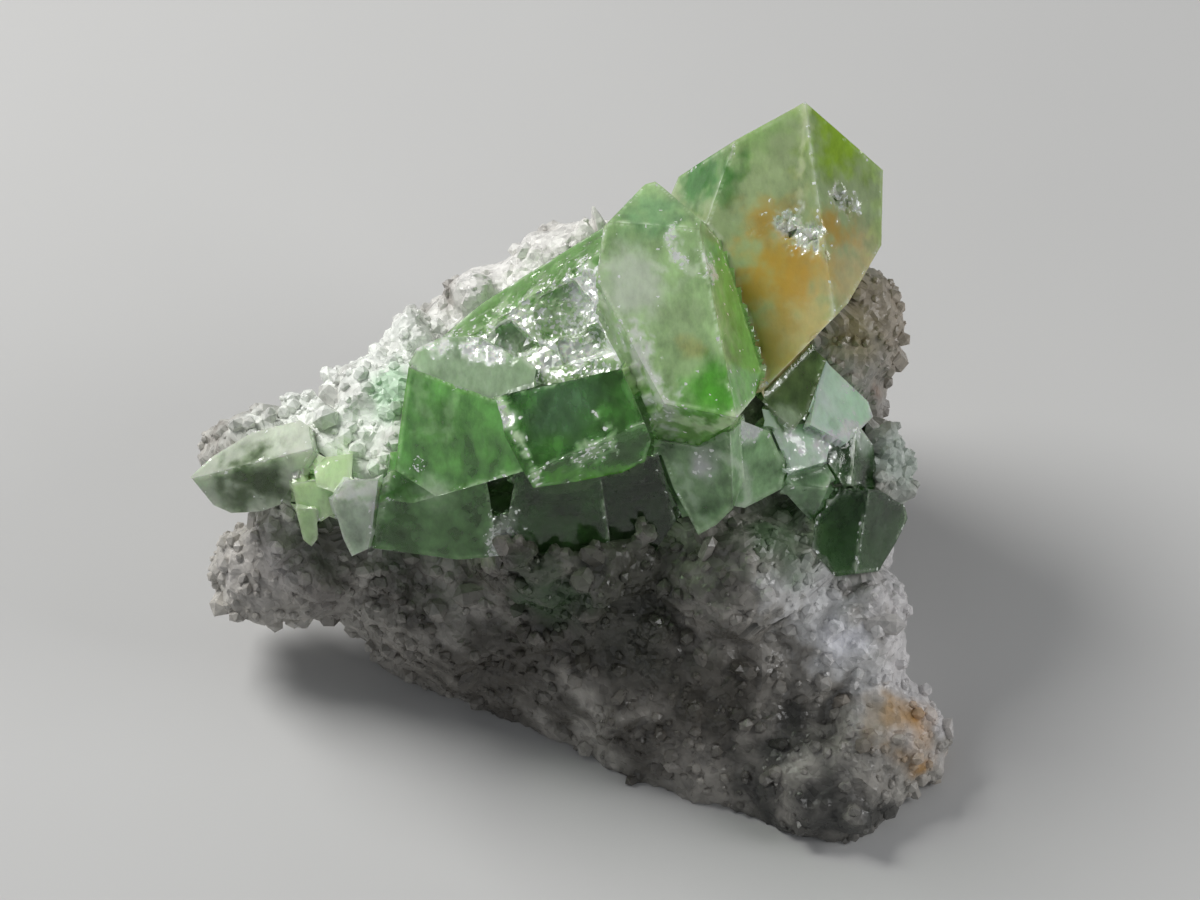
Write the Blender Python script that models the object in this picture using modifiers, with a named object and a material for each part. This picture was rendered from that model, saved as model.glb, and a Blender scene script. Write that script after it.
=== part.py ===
"""A cluster of green augelite crystals grown on a block of white granular quartz."""

import math
import random

import bmesh
import bpy
from mathutils import Matrix, Vector, noise

MM = 0.001

# The corners below are measured on the specimen as it is looked at, from the front and well above.
SIGHT_ELEVATION = math.radians(50.0)
SIGHT_DISTANCE = 200.0 * MM
SIGHT_TARGET = Vector((1.6, 0.1, 15.8)) * MM
TOWARD_EYE = Vector((0.0, -math.cos(SIGHT_ELEVATION), math.sin(SIGHT_ELEVATION)))
PICTURE_UP = Vector((0.0, math.sin(SIGHT_ELEVATION), math.cos(SIGHT_ELEVATION)))
PICTURE_RIGHT = Vector((1.0, 0.0, 0.0))
EYE = SIGHT_TARGET + TOWARD_EYE * SIGHT_DISTANCE

# The ground point below the front corner of the rock, from which its blocks are measured.
ROCK_ORIGIN = Vector((1.6, -18.74, 0.0)) * MM

# The gap between two pieces that touch.
CLEARANCE = 0.3 * MM

ROCK_SEED = 41
ROCK_VOXEL = 0.9 * MM
ROCK_TRIANGLES = 3000
# The flat cuts that break each lump, and how far from its middle they run, as shares of its size.
LUMP_CUTS = 12
LUMP_CUT_DEPTH = (0.78, 0.95)
# Grain size and height of the rock's roughness, coarse and fine, and how far it stands out on average.
ROUGHNESS = ((7.0 * MM, 0.5 * MM), (2.4 * MM, 0.55 * MM))
ROUGHNESS_RISE = 0.6
CELL_SPREAD = 3.7
# Quartz points: how many, the shortest and longest column, and how far it is sunk as a share of that.
SMALL_POINTS = (74, 1.2 * MM, 2.8 * MM, 0.85)
LARGE_POINTS = (22, 3.0 * MM, 4.4 * MM, 1.08)
POINT_SLENDERNESS = 0.46
POINT_VARIATION = (0.8, 1.2)
POINT_BLUNTNESS = 0.15
POINT_LEAN = 0.5
POINT_FLOOR = 2.0 * MM

# Faces that turn less than this are one flat face, and corners nearer than MERGE are one corner.
FLAT_ANGLE = math.radians(1.0)
MERGE = 0.001 * MM
ON_PLANE = 0.0001 * MM
LARGER_THAN_ALL = 90.0 * MM
# The exact solver leaves open edges in the rough rock, and loses crystals that share a plane.
SOLVER = "MANIFOLD"

# In millimetres. A crystal's outline is its corners, across and up in the picture, and each of its faces
# is three points, with how far toward the eye they lie. Front, girdle and root are such distances too.
MAIN_CLUSTER = [
    # centre crystal
    dict(
        outline=[(3.3, 16.2), (6.2, 13.7), (7.1, 12.7), (8.2, 9.7), (9.7, 4.7), (9.3, 3.2), (7.9, 1.5),
                 (5.8, 0.4), (3.3, 0.7), (1.4, 4.7), (-0.4, 8.2), (-0.2, 10.5), (0.2, 13.4),
                 (1.2, 13.9), (2.7, 16.0)],
        faces=[
            ((1.2, 13.5, 8.5), (5.5, 12.8, 9.0), (4.1, 2.9, 11.5)),
            ((1.2, 13.7, 8.4), (6.0, 13.4, 8.8), (3.3, 16.2, 5.5)),
            ((6.0, 13.4, 8.8), (7.3, 6.6, 10.7), (9.7, 4.7, 7.0)),
            ((4.1, 2.7, 11.5), (7.3, 2.1, 11.9), (5.8, 0.4, 8.5)),
            ((1.7, 6.7, 10.3), (4.1, 2.3, 11.6), (1.4, 4.2, 8.0)),
        ],
        front=14.0, girdle=6.0, root=-3.0, taper=0.8,
    ),
    # its broken left half
    dict(
        outline=[(0.7, 13.7), (-7.2, 8.8), (-9.5, 6.8), (-7.8, 5.9), (-4.0, 3.8), (1.5, 4.7),
                 (2.4, 6.3), (1.5, 11.4)],
        faces=[
            ((-0.1, 11.9, 7.0), (-6.6, 7.7, 5.6), (0.0, 4.5, 8.2)),
            ((-0.1, 11.9, 7.0), (-6.6, 7.7, 5.6), (-3.3, 11.3, 4.0)),
        ],
        front=11.0, girdle=3.5, root=-3.0, taper=0.8,
    ),
    # pale slab
    dict(
        outline=[(-11.5, 5.2), (-11.0, 6.1), (-9.5, 6.8), (-5.9, 6.8), (-4.6, 5.5), (-3.8, 4.9),
                 (-4.0, 3.8), (-6.6, 3.1), (-9.7, 3.8)],
        faces=[((-11.0, 5.9, 7.3), (-6.0, 6.6, 7.6), (-6.6, 3.2, 8.6))],
        front=10.0, girdle=6.0, root=-1.0, taper=0.85,
    ),
    # left block
    dict(
        outline=[(-11.5, 5.0), (-9.4, 3.7), (-6.2, 3.0), (-3.6, 1.8), (-4.6, -1.3), (-8.2, -2.2),
                 (-9.8, -2.8), (-12.3, -1.2), (-12.1, 0.8)],
        faces=[((-11.4, 4.7, 8.6), (-6.2, 2.9, 9.3), (-9.6, -2.4, 8.4))],
        front=11.0, girdle=5.5, root=-2.0, taper=0.8,
    ),
    # its foot
    dict(
        outline=[(-12.6, -0.1), (-9.0, 0.2), (-7.2, -1.8), (-9.8, -2.8), (-11.2, -3.2), (-13.0, -3.0)],
        faces=[((-12.6, -0.2, 7.6), (-9.0, 0.2, 8.3), (-11.2, -3.2, 7.2))],
        front=9.0, girdle=5.0, root=0.0, taper=0.85,
    ),
    # middle block
    dict(
        outline=[(-6.3, 3.2), (1.3, 4.9), (2.0, 3.3), (3.1, 0.6), (2.7, -0.7), (1.3, -1.4),
                 (-1.3, -1.9), (-4.0, -2.3), (-4.8, -1.0), (-5.7, 0.8)],
        faces=[
            ((-6.0, 3.1, 11.2), (1.3, 4.7, 11.2), (-2.4, -0.3, 12.3)),
            ((-3.9, -1.7, 12.0), (0.7, 0.6, 12.0), (2.4, -0.9, 9.5)),
        ],
        front=13.5, girdle=7.5, root=1.0, taper=0.85,
    ),
    # lower shelf, left
    dict(
        outline=[(-12.6, -1.2), (-13.6, -5.9), (-11.8, -5.9), (-10.1, -5.9), (-8.5, -6.6),
                 (-6.0, -6.4), (-7.0, -4.8), (-6.8, -1.8)],
        faces=[((-12.9, -2.4, 7.2), (-6.8, -2.1, 7.4), (-10.1, -5.9, 5.2))],
        front=9.0, girdle=4.5, root=-2.0, taper=0.9,
    ),
    # lower shelf, middle
    dict(
        outline=[(-5.0, -1.2), (-5.1, -4.5), (-6.0, -6.4), (-3.4, -8.4), (-0.5, -8.2), (0.6, -5.4),
                 (0.0, -1.2)],
        faces=[((-5.0, -2.4, 7.4), (0.0, -2.4, 7.0), (-3.3, -8.2, 3.0))],
        front=9.0, girdle=2.0, root=-3.0, taper=0.9,
    ),
    # lower shelf, right
    dict(
        outline=[(-0.3, -0.6), (3.3, -0.3), (4.6, -4.2), (3.0, -6.6), (0.0, -7.9)],
        faces=[((-0.3, -1.8, 6.8), (3.6, -1.8, 6.0), (1.2, -7.2, 2.5))],
        front=9.0, girdle=2.0, root=-3.0, taper=0.9,
    ),
    # floor behind the gap in the shelf
    dict(
        outline=[(-7.8, -1.2), (-4.2, -1.2), (-4.2, -5.7), (-7.2, -5.7)],
        faces=[((-7.2, -1.8, 4.6), (-4.8, -1.8, 4.6), (-6.0, -5.4, 3.0))],
        front=6.0, girdle=2.5, root=-3.0, taper=0.9,
    ),
]

# Steps broken into the main cluster's left half.
MAIN_STEPS = [
    dict(
        outline=[(-4.8, 9.0), (-1.5, 10.5), (-0.5, 9.0), (-0.9, 6.7), (-3.6, 6.3)],
        faces=[], front=11.0, girdle=7.6, root=6.3, taper=0.75,
    ),
    dict(
        outline=[(-3.1, 6.7), (0.0, 7.7), (0.7, 5.9), (-2.4, 4.9)],
        faces=[], front=11.0, girdle=8.0, root=6.9, taper=0.7,
    ),
    dict(
        outline=[(-7.3, 6.9), (-5.4, 7.9), (-3.7, 6.2), (-4.8, 5.6)],
        faces=[], front=10.0, girdle=6.6, root=5.4, taper=0.7,
    ),
]

# Etched pits in the corner crystal.
CORNER_PITS = [
    dict(
        outline=[(10.3, 13.4), (11.2, 13.9), (11.9, 13.3), (11.5, 12.5), (10.7, 12.6)],
        faces=[], front=9.0, girdle=5.6, root=4.4, taper=0.5,
    ),
    dict(
        outline=[(11.8, 13.1), (12.5, 13.3), (13.0, 12.7), (12.4, 12.4)],
        faces=[], front=9.0, girdle=5.8, root=4.7, taper=0.5,
    ),
    dict(
        outline=[(14.0, 15.2), (14.6, 15.4), (15.4, 14.9), (15.1, 14.5), (14.3, 14.8)],
        faces=[], front=8.0, girdle=4.4, root=3.2, taper=0.5,
    ),
]

CORNER_CRYSTAL = [
    dict(
        outline=[(12.3, 20.9), (17.0, 16.8), (16.9, 12.3), (14.9, 8.8), (10.8, 4.6), (9.7, 3.5),
                 (6.0, 3.9), (4.1, 9.0), (4.1, 15.0), (4.7, 16.4), (8.1, 18.6)],
        faces=[
            ((12.3, 20.9, 5.0), (12.8, 17.3, 5.5), (8.1, 18.6, 3.0)),
            ((12.3, 20.9, 5.0), (12.8, 17.3, 5.5), (17.0, 16.8, 1.0)),
            ((8.1, 18.6, 3.0), (6.5, 13.9, 2.5), (4.7, 16.4, -1.5)),
        ],
        front=9.0, girdle=-2.0, root=-8.0, taper=0.75, lean=(-1.0, -2.0),
    ),
]

LOWER_CRYSTAL = [
    dict(
        outline=[(3.3, 1.2), (3.7, -0.3), (4.4, -2.3), (5.3, -4.0), (5.9, -5.1), (7.0, -4.5),
                 (8.0, -3.5), (8.7, -1.8), (8.4, 1.8), (5.4, 1.8)],
        faces=[
            ((3.7, -0.3, 8.0), (8.1, -1.2, 8.6), (5.9, -5.0, 6.0)),
            ((8.1, 0.6, 8.8), (8.2, -3.3, 7.0), (8.9, -1.8, 6.0)),
        ],
        front=10.0, girdle=5.0, root=-3.0, taper=0.8,
    ),
    dict(
        outline=[(7.2, 1.6), (8.7, 1.7), (10.2, 1.1), (11.2, -1.2), (10.8, -2.4), (8.7, -3.5),
                 (7.5, -3.3)],
        faces=[((7.8, 1.1, 7.4), (10.8, 0.0, 5.6), (8.7, -3.4, 5.6))],
        front=9.0, girdle=4.5, root=-3.0, taper=0.8,
    ),
]

RIGHT_CLUSTER = [
    # dark diamond
    dict(
        outline=[(12.7, 6.2), (13.6, 5.4), (12.5, 2.3), (11.6, 1.2), (9.7, 2.9), (10.7, 4.6)],
        faces=[((12.7, 6.0, 2.0), (9.9, 3.1, 4.5), (12.0, 1.5, 4.6))],
        front=6.0, girdle=1.0, root=-4.0, taper=0.85,
    ),
    # mint peak
    dict(
        outline=[(13.6, 5.3), (16.1, 2.9), (16.4, 2.0), (15.4, 1.0), (14.8, 0.4), (12.6, 1.5),
                 (13.0, 3.4)],
        faces=[((13.6, 5.2, 0.8), (16.1, 2.7, 0.2), (14.4, 0.6, 3.8))],
        front=6.0, girdle=-1.0, root=-6.0, taper=0.8,
    ),
    # pale face
    dict(
        outline=[(9.7, 2.5), (11.3, 1.4), (12.7, 1.7), (13.9, 1.0), (13.6, -0.7), (11.3, -1.4),
                 (10.5, -0.8)],
        faces=[((10.0, 2.1, 4.8), (13.7, 0.9, 3.4), (11.4, -1.3, 5.4))],
        front=7.0, girdle=2.0, root=-4.0, taper=0.85,
    ),
    # lump
    dict(
        outline=[(13.7, 0.8), (15.6, 1.4), (16.4, 0.3), (16.7, -2.0), (14.6, -2.2), (13.7, -0.8)],
        faces=[
            ((13.9, 0.6, 3.2), (15.4, 0.6, 2.6), (15.0, -1.9, 3.4)),
            ((15.4, 0.6, 2.6), (15.1, -1.9, 3.4), (16.7, -0.9, 0.5)),
        ],
        front=5.0, girdle=-1.0, root=-5.0, taper=0.8,
    ),
]

RIGHT_SHARD = [
    dict(
        outline=[(11.1, -1.7), (13.6, -0.8), (13.9, -1.8), (13.2, -3.4), (12.4, -4.0), (11.2, -2.7)],
        faces=[
            ((11.2, -1.8, 4.6), (13.7, -1.0, 3.6), (12.2, -3.0, 4.8)),
            ((11.2, -2.2, 4.6), (13.7, -2.2, 4.2), (12.4, -4.0, 2.8)),
        ],
        front=6.0, girdle=2.0, root=-3.0, taper=0.7,
    ),
]

DARK_CRYSTAL = [
    dict(
        outline=[(14.6, -2.2), (16.8, -2.4), (18.3, -3.3), (18.5, -4.1), (17.8, -5.5), (16.7, -7.3),
                 (14.1, -7.6), (12.7, -5.9), (12.9, -4.1)],
        faces=[
            ((14.6, -2.4, 3.0), (16.1, -2.5, 2.6), (15.0, -7.3, 2.2)),
            ((16.1, -2.5, 2.6), (15.3, -7.2, 2.2), (18.3, -3.7, -0.8)),
        ],
        front=5.0, girdle=-1.0, root=-5.0, taper=0.8,
    ),
]

LEFT_TIP = [
    dict(
        outline=[(-24.6, -1.6), (-23.3, -0.4), (-20.8, 1.1), (-18.0, 1.8), (-17.4, 0.0), (-19.4, -1.2),
                 (-20.3, -3.7), (-22.1, -3.8), (-23.2, -3.3)],
        faces=[
            ((-24.5, -1.7, 3.2), (-19.7, -0.5, 4.8), (-20.8, 1.1, 2.2)),
            ((-24.5, -1.7, 3.2), (-19.7, -0.5, 4.8), (-21.6, -3.7, 2.0)),
        ],
        front=7.0, girdle=1.5, root=-4.0, taper=0.6, lean=(3.0, 0.0),
    ),
]

LEFT_CRYSTALS = [
    dict(
        outline=[(-17.2, -1.2), (-16.5, -0.4), (-14.8, -0.2), (-14.9, -1.8), (-15.5, -2.7),
                 (-17.0, -2.2)],
        faces=[((-16.9, -1.3, 5.6), (-14.9, -0.4, 5.6), (-15.5, -2.6, 6.2))],
        front=8.0, girdle=4.0, root=-1.0, taper=0.8,
    ),
    dict(
        outline=[(-18.5, -2.0), (-17.0, -1.8), (-15.5, -2.7), (-15.8, -3.7), (-16.7, -4.3),
                 (-18.1, -4.2)],
        faces=[((-18.4, -2.2, 5.0), (-15.7, -2.8, 5.8), (-17.4, -4.2, 4.4))],
        front=7.0, girdle=3.0, root=-1.0, taper=0.8,
    ),
    dict(
        outline=[(-18.3, -3.5), (-17.0, -3.5), (-16.9, -5.3), (-17.3, -5.8), (-17.8, -5.4)],
        faces=[((-18.2, -3.7, 4.6), (-17.0, -3.8, 4.9), (-17.4, -5.7, 3.4))],
        front=7.0, girdle=3.0, root=-1.0, taper=0.8,
    ),
]

LEFT_TOOTH = [
    dict(
        outline=[(-16.1, -3.0), (-15.3, -1.8), (-13.3, -1.7), (-13.8, -5.9), (-14.9, -6.4),
                 (-15.4, -5.4)],
        faces=[((-15.9, -3.3, 7.0), (-13.6, -3.3, 7.4), (-14.9, -6.2, 5.0))],
        front=9.0, girdle=4.5, root=0.0, taper=0.8,
    ),
]

CRYSTALS = [
    # name, its crystals, the hollows in them, colour, roughness
    ("augelite_main_cluster", MAIN_CLUSTER, MAIN_STEPS, (0.24, 0.42, 0.18), 0.15),
    ("augelite_corner_crystal", CORNER_CRYSTAL, CORNER_PITS, (0.62, 0.6, 0.32), 0.2),
    ("augelite_lower_crystal", LOWER_CRYSTAL, [], (0.4, 0.5, 0.38), 0.15),
    ("augelite_right_cluster", RIGHT_CLUSTER, [], (0.5, 0.66, 0.5), 0.2),
    ("augelite_right_shard", RIGHT_SHARD, [], (0.3, 0.45, 0.3), 0.2),
    ("augelite_dark_crystal", DARK_CRYSTAL, [], (0.12, 0.22, 0.12), 0.2),
    ("augelite_left_tip", LEFT_TIP, [], (0.5, 0.58, 0.4), 0.2),
    ("augelite_left_crystals", LEFT_CRYSTALS, [], (0.55, 0.68, 0.4), 0.2),
    ("augelite_left_tooth", LEFT_TOOTH, [], (0.6, 0.64, 0.56), 0.2),
]
QUARTZ_FINISH = ((0.72, 0.68, 0.64), 0.5)

# The rock's core, then the lumps that stand on it, in millimetres from the front ground point.
ROCK_CORNERS = [
    (-12.5, 13.4, -1.5), (-4.5, 9.7, -1.5), (2.4, 6.2, -1.5), (7.5, 3.2, -1.5), (12.5, 0.9, -1.5),
    (16.0, 0.8, -1.5), (18.5, 5.0, -1.5), (17.0, 23.0, -1.5), (6.0, 28.5, -1.5), (-10.0, 26.5, -1.5),
    (-20.0, 18.0, 8.0), (-19.0, 21.5, 12.0), (-11.5, 26.0, 15.0), (-2.0, 30.5, 18.0), (6.0, 32.0, 21.0),
    (13.0, 30.0, 20.0), (16.0, 27.0, 14.0), (16.5, 18.0, 12.5), (14.0, 10.0, 7.0), (4.0, 14.0, 16.0),
    (-6.0, 14.5, 16.0), (-15.0, 16.5, 13.0), (3.0, 22.0, 23.0), (-6.0, 20.0, 20.0),
]
ROCK_LUMPS = [
    # middle, half sizes
    ((-20.6, 16.6, 6.4), (3.6, 3.4, 3.9)),
    ((-17.5, 16.5, 8.0), (5.0, 3.6, 4.0)),
    ((-15.8, 18.0, 14.8), (6.2, 3.9, 3.3)),
    ((-12.0, 20.6, 16.6), (5.5, 4.2, 4.0)),
    ((-9.2, 17.0, 16.5), (4.5, 4.0, 4.5)),
    ((-6.6, 28.2, 16.2), (4.6, 4.0, 4.2)),
    ((-1.2, 30.6, 18.4), (4.6, 4.0, 4.4)),
    ((-9.3, 26.8, 16.0), (3.2, 3.0, 3.2)),
    ((9.0, 31.4, 14.0), (6.6, 4.2, 5.4)),
    ((8.0, 29.5, 20.5), (7.0, 4.6, 5.0)),
    ((15.0, 28.0, 15.6), (3.6, 4.2, 5.6)),
    ((15.0, 25.4, 12.0), (3.0, 3.0, 3.4)),
    ((14.8, 19.2, 13.0), (4.2, 4.6, 4.2)),
    ((13.6, 12.6, 7.2), (5.4, 4.6, 4.4)),
    ((16.6, 7.4, 2.6), (3.4, 4.0, 4.0)),
    ((13.4, 5.0, 1.4), (5.6, 4.2, 4.4)),
    ((4.5, 9.5, 4.0), (6.5, 4.0, 4.4)),
    ((-7.0, 14.0, 5.0), (7.5, 4.0, 5.0)),
    ((8.5, 12.4, 12.0), (5.0, 4.0, 4.0)),
    ((-2.0, 13.0, 13.5), (6.0, 3.4, 3.5)),
    ((0.0, 26.0, 7.0), (9.0, 5.0, 6.5)),
    ((-11.0, 24.0, 8.0), (6.0, 4.4, 6.0)),
    ((11.5, 25.0, 7.0), (6.5, 5.0, 7.0)),
]
# The pointed foot at the right, as corners.
ROCK_SPUR = [
    (21.6, 5.0, 1.6), (20.4, 7.0, -1.0), (19.9, 8.0, 4.6), (15.0, 3.0, 0.0), (14.5, 6.0, 5.0),
    (15.0, 10.0, 1.0), (17.8, 10.8, 7.2),
]


def sighted(across, up, toward):
    """The point that far across and up in the picture and that far in front of it, all in millimetres."""
    on_picture = SIGHT_TARGET + (PICTURE_RIGHT * across + PICTURE_UP * up) * MM
    return on_picture + (EYE - on_picture) * (toward * MM / SIGHT_DISTANCE)


def trim(bm, point, normal):
    """Cuts a convex solid flat at the point, and drops what lies on the normal's side."""
    everything = bm.verts[:] + bm.edges[:] + bm.faces[:]
    cut = bmesh.ops.bisect_plane(
        bm, geom=everything, dist=ON_PLANE, plane_co=point, plane_no=normal, clear_outer=True
    )
    rim = [item for item in cut["geom_cut"] if isinstance(item, bmesh.types.BMEdge)]
    if rim:
        bmesh.ops.contextual_create(bm, geom=rim)


def crystal(outline, faces, front, girdle, root, taper=0.75, lean=(0.0, 0.0)):
    """A column with the outline as its section down to its girdle, below which it narrows to its root.

    Its near end is cut by the faces, each given by three points."""
    middle = sum((Vector(corner) for corner in outline), Vector((0.0, 0.0))) / len(outline)
    bm = bmesh.new()
    for corner in outline:
        low = middle + (Vector(corner) - middle) * taper + Vector(lean)
        bm.verts.new(sighted(*corner, front))
        bm.verts.new(sighted(*corner, girdle))
        bm.verts.new(sighted(*low, root))
    bmesh.ops.convex_hull(bm, input=bm.verts[:])
    bmesh.ops.dissolve_limit(bm, angle_limit=FLAT_ANGLE, verts=bm.verts[:], edges=bm.edges[:])
    for corners in faces:
        a, b, c = (sighted(*corner) for corner in corners)
        normal = (b - a).cross(c - a).normalized()
        if normal.dot(TOWARD_EYE) < 0.0:
            normal = -normal
        trim(bm, a, normal)
    bmesh.ops.recalc_face_normals(bm, faces=bm.faces[:])
    return bm


def grown(bm):
    """The same convex crystal with every face moved out by the clearance."""
    socket = bmesh.new()
    centre = sum((vert.co for vert in bm.verts), Vector()) / len(bm.verts)
    bmesh.ops.create_cube(socket, size=LARGER_THAN_ALL, matrix=Matrix.Translation(centre))
    for face in bm.faces:
        trim(socket, face.calc_center_median() + face.normal * CLEARANCE, face.normal)
    return socket


def scatter(rng):
    """A random arrow, as likely to point one way as another."""
    return Vector((rng.gauss(0.0, 1.0), rng.gauss(0.0, 1.0), rng.gauss(0.0, 1.0)))


def lump(rng, middle, half_sizes):
    """An ovoid knocked into flat broken faces by cuts at random angles."""
    bm = bmesh.new()
    bmesh.ops.create_icosphere(bm, subdivisions=2, radius=1.0)
    for _ in range(LUMP_CUTS):
        direction = scatter(rng).normalized()
        trim(bm, direction * rng.uniform(*LUMP_CUT_DEPTH), direction)
    place = Matrix.Translation(Vector(middle) * MM) @ Matrix.Diagonal(Vector(half_sizes) * MM).to_4x4()
    bmesh.ops.transform(bm, matrix=place, verts=bm.verts[:])
    return bm


def hull(points):
    """The convex solid round the points."""
    bm = bmesh.new()
    for point in points:
        bm.verts.new(point)
    bmesh.ops.convex_hull(bm, input=bm.verts[:])
    return bm


def gather(pieces):
    """All the pieces' shells in one mesh."""
    mesh = bpy.data.meshes.new("gathered")
    whole = bmesh.new()
    for piece in pieces:
        piece.to_mesh(mesh)
        whole.from_mesh(mesh)
        piece.free()
    bpy.data.meshes.remove(mesh)
    return whole


def shaped(bm, *settings):
    """The mesh after modifiers, each given as its type and its values."""
    mesh = bpy.data.meshes.new("shaped")
    bm.to_mesh(mesh)
    bm.free()
    obj = bpy.data.objects.new("shaped", mesh)
    bpy.context.scene.collection.objects.link(obj)
    for kind, values in settings:
        modifier = obj.modifiers.new(kind.title(), kind)
        for key, value in values.items():
            setattr(modifier, key, value)
    depsgraph = bpy.context.evaluated_depsgraph_get()
    result = bmesh.new()
    result.from_object(obj, depsgraph)
    bpy.data.objects.remove(obj)
    bpy.data.meshes.remove(mesh)
    return result


def combined(bm, other, operation):
    """The first solid joined with the other, or cut by it."""
    mesh = bpy.data.meshes.new("other")
    other.to_mesh(mesh)
    tool = bpy.data.objects.new("other", mesh)
    bpy.context.scene.collection.objects.link(tool)
    values = dict(operation=operation, object=tool, solver=SOLVER)
    result = shaped(bm, ("BOOLEAN", values))
    bpy.data.objects.remove(tool)
    bpy.data.meshes.remove(mesh)
    return result


def largest_island(bm):
    """Drops loose chips, so that one body is left."""
    left = set(bm.verts)
    islands = []
    while left:
        island = set()
        front = [left.pop()]
        while front:
            vert = front.pop()
            island.add(vert)
            for edge in vert.link_edges:
                other = edge.other_vert(vert)
                if other in left:
                    left.remove(other)
                    front.append(other)
        islands.append(island)
    islands.sort(key=len)
    for island in islands[:-1]:
        bmesh.ops.delete(bm, geom=list(island), context="VERTS")


def tidy(bm):
    """Merges corners that meet, and leaves one body of triangles."""
    bmesh.ops.remove_doubles(bm, verts=bm.verts[:], dist=MERGE)
    bmesh.ops.dissolve_degenerate(bm, dist=MERGE, edges=bm.edges[:])
    bmesh.ops.triangulate(bm, faces=bm.faces[:])
    largest_island(bm)


def roughen(bm):
    """Pushes the surface in and out by whole Voronoi cells, which breaks it into grains and ledges."""
    for grain, height in ROUGHNESS:
        bm.normal_update()
        moves = []
        for vert in bm.verts:
            distances, cells = noise.voronoi(vert.co / grain)
            push = noise.noise(cells[0] * CELL_SPREAD) + ROUGHNESS_RISE - distances[0]
            moves.append(vert.normal * height * push)
        for vert, move in zip(bm.verts, moves):
            vert.co += move


def quartz_point(rng, foot, direction, length, sunk):
    """A six-sided column with its foot sunk in what it grows from, ending in a blunt six-sided point."""
    radius = length * POINT_SLENDERNESS * rng.uniform(*POINT_VARIATION)
    centre = length * (0.5 - sunk)
    column = bmesh.new()
    bmesh.ops.create_cone(column, cap_ends=True, segments=6, radius1=radius, radius2=radius, depth=length)
    bmesh.ops.translate(column, verts=column.verts[:], vec=(0.0, 0.0, centre))
    tip = bmesh.new()
    blunt = radius * POINT_BLUNTNESS
    bmesh.ops.create_cone(tip, cap_ends=True, segments=6, radius1=radius, radius2=blunt, depth=radius)
    bmesh.ops.translate(tip, verts=tip.verts[:], vec=(0.0, 0.0, centre + (length + radius) / 2))
    bm = hull([vert.co for vert in column.verts[:] + tip.verts[:]])
    column.free()
    tip.free()
    bmesh.ops.dissolve_limit(bm, angle_limit=FLAT_ANGLE, verts=bm.verts[:], edges=bm.edges[:])
    spin = Matrix.Rotation(rng.uniform(0.0, 1.0), 4, "Z")
    tilt = direction.to_track_quat("Z", "Y").to_matrix().to_4x4()
    bmesh.ops.transform(bm, matrix=Matrix.Translation(foot) @ tilt @ spin, verts=bm.verts[:])
    return bm


def quartz_rock():
    """The core and its lumps run together, roughened, set with quartz points and cut flat underneath."""
    rng = random.Random(ROCK_SEED)
    pieces = [hull([Vector(corner) * MM for corner in corners]) for corners in (ROCK_CORNERS, ROCK_SPUR)]
    pieces += [lump(rng, *values) for values in ROCK_LUMPS]
    bm = shaped(gather(pieces), ("REMESH", dict(mode="VOXEL", voxel_size=ROCK_VOXEL)))
    roughen(bm)
    bmesh.ops.triangulate(bm, faces=bm.faces[:])
    bm = shaped(bm, ("DECIMATE", dict(ratio=ROCK_TRIANGLES / len(bm.faces))))
    faces = [face for face in bm.faces if face.calc_center_median().z > POINT_FLOOR]
    points = []
    for count, shortest, longest, sunk in (SMALL_POINTS, LARGE_POINTS):
        for _ in range(count):
            face = rng.choice(faces)
            direction = (face.normal + scatter(rng) * POINT_LEAN).normalized()
            length = rng.uniform(shortest, longest)
            points.append(quartz_point(rng, face.calc_center_median(), direction, length, sunk))
    for point in points:
        bm = combined(bm, point, "UNION")
    ground = bmesh.new()
    below = Matrix.Translation((0.0, 0.0, -LARGER_THAN_ALL / 2))
    bmesh.ops.create_cube(ground, size=LARGER_THAN_ALL, matrix=below)
    bm = combined(bm, ground, "DIFFERENCE")
    bmesh.ops.translate(bm, verts=bm.verts[:], vec=ROCK_ORIGIN)
    return bm


def grown_together(habits, hollows):
    """One solid of all the crystals that overlap, with the hollows cut into it."""
    bm = crystal(**habits[0])
    for habit in habits[1:]:
        bm = combined(bm, crystal(**habit), "UNION")
    for hollow in hollows:
        bm = combined(bm, crystal(**hollow), "DIFFERENCE")
    return bm


def material(name, colour, roughness):
    mat = bpy.data.materials.new(name)
    mat.use_nodes = True
    shader = mat.node_tree.nodes["Principled BSDF"]
    shader.inputs["Base Color"].default_value = (*colour, 1.0)
    shader.inputs["Roughness"].default_value = roughness
    shader.inputs["Metallic"].default_value = 0.0
    mat.diffuse_color = (*colour, 1.0)
    return mat


def add_piece(name, bm, colour, roughness, collection):
    tidy(bm)
    mesh = bpy.data.meshes.new(name)
    bm.to_mesh(mesh)
    bm.free()
    mesh.materials.append(material(name, colour, roughness))
    collection.objects.link(bpy.data.objects.new(name, mesh))


def main():
    for obj in list(bpy.data.objects):
        bpy.data.objects.remove(obj)
    collection = bpy.data.collections.new("augelite_and_quartz_cluster")
    bpy.context.scene.collection.children.link(collection)
    sockets = []
    for name, habits, hollows, colour, roughness in CRYSTALS:
        bm = grown_together(habits, hollows)
        for socket in sockets:
            bm = combined(bm, socket, "DIFFERENCE")
        sockets += [grown(crystal(**habit)) for habit in habits]
        add_piece(name, bm, colour, roughness, collection)
    rock = quartz_rock()
    for socket in sockets:
        rock = combined(rock, socket, "DIFFERENCE")
    add_piece("quartz_matrix", rock, *QUARTZ_FINISH, collection)


main()
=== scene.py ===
import math

import bmesh
import bpy
import numpy as np
from mathutils import Matrix, Vector, noise
from mathutils.bvhtree import BVHTree
from mathutils.kdtree import KDTree


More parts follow.
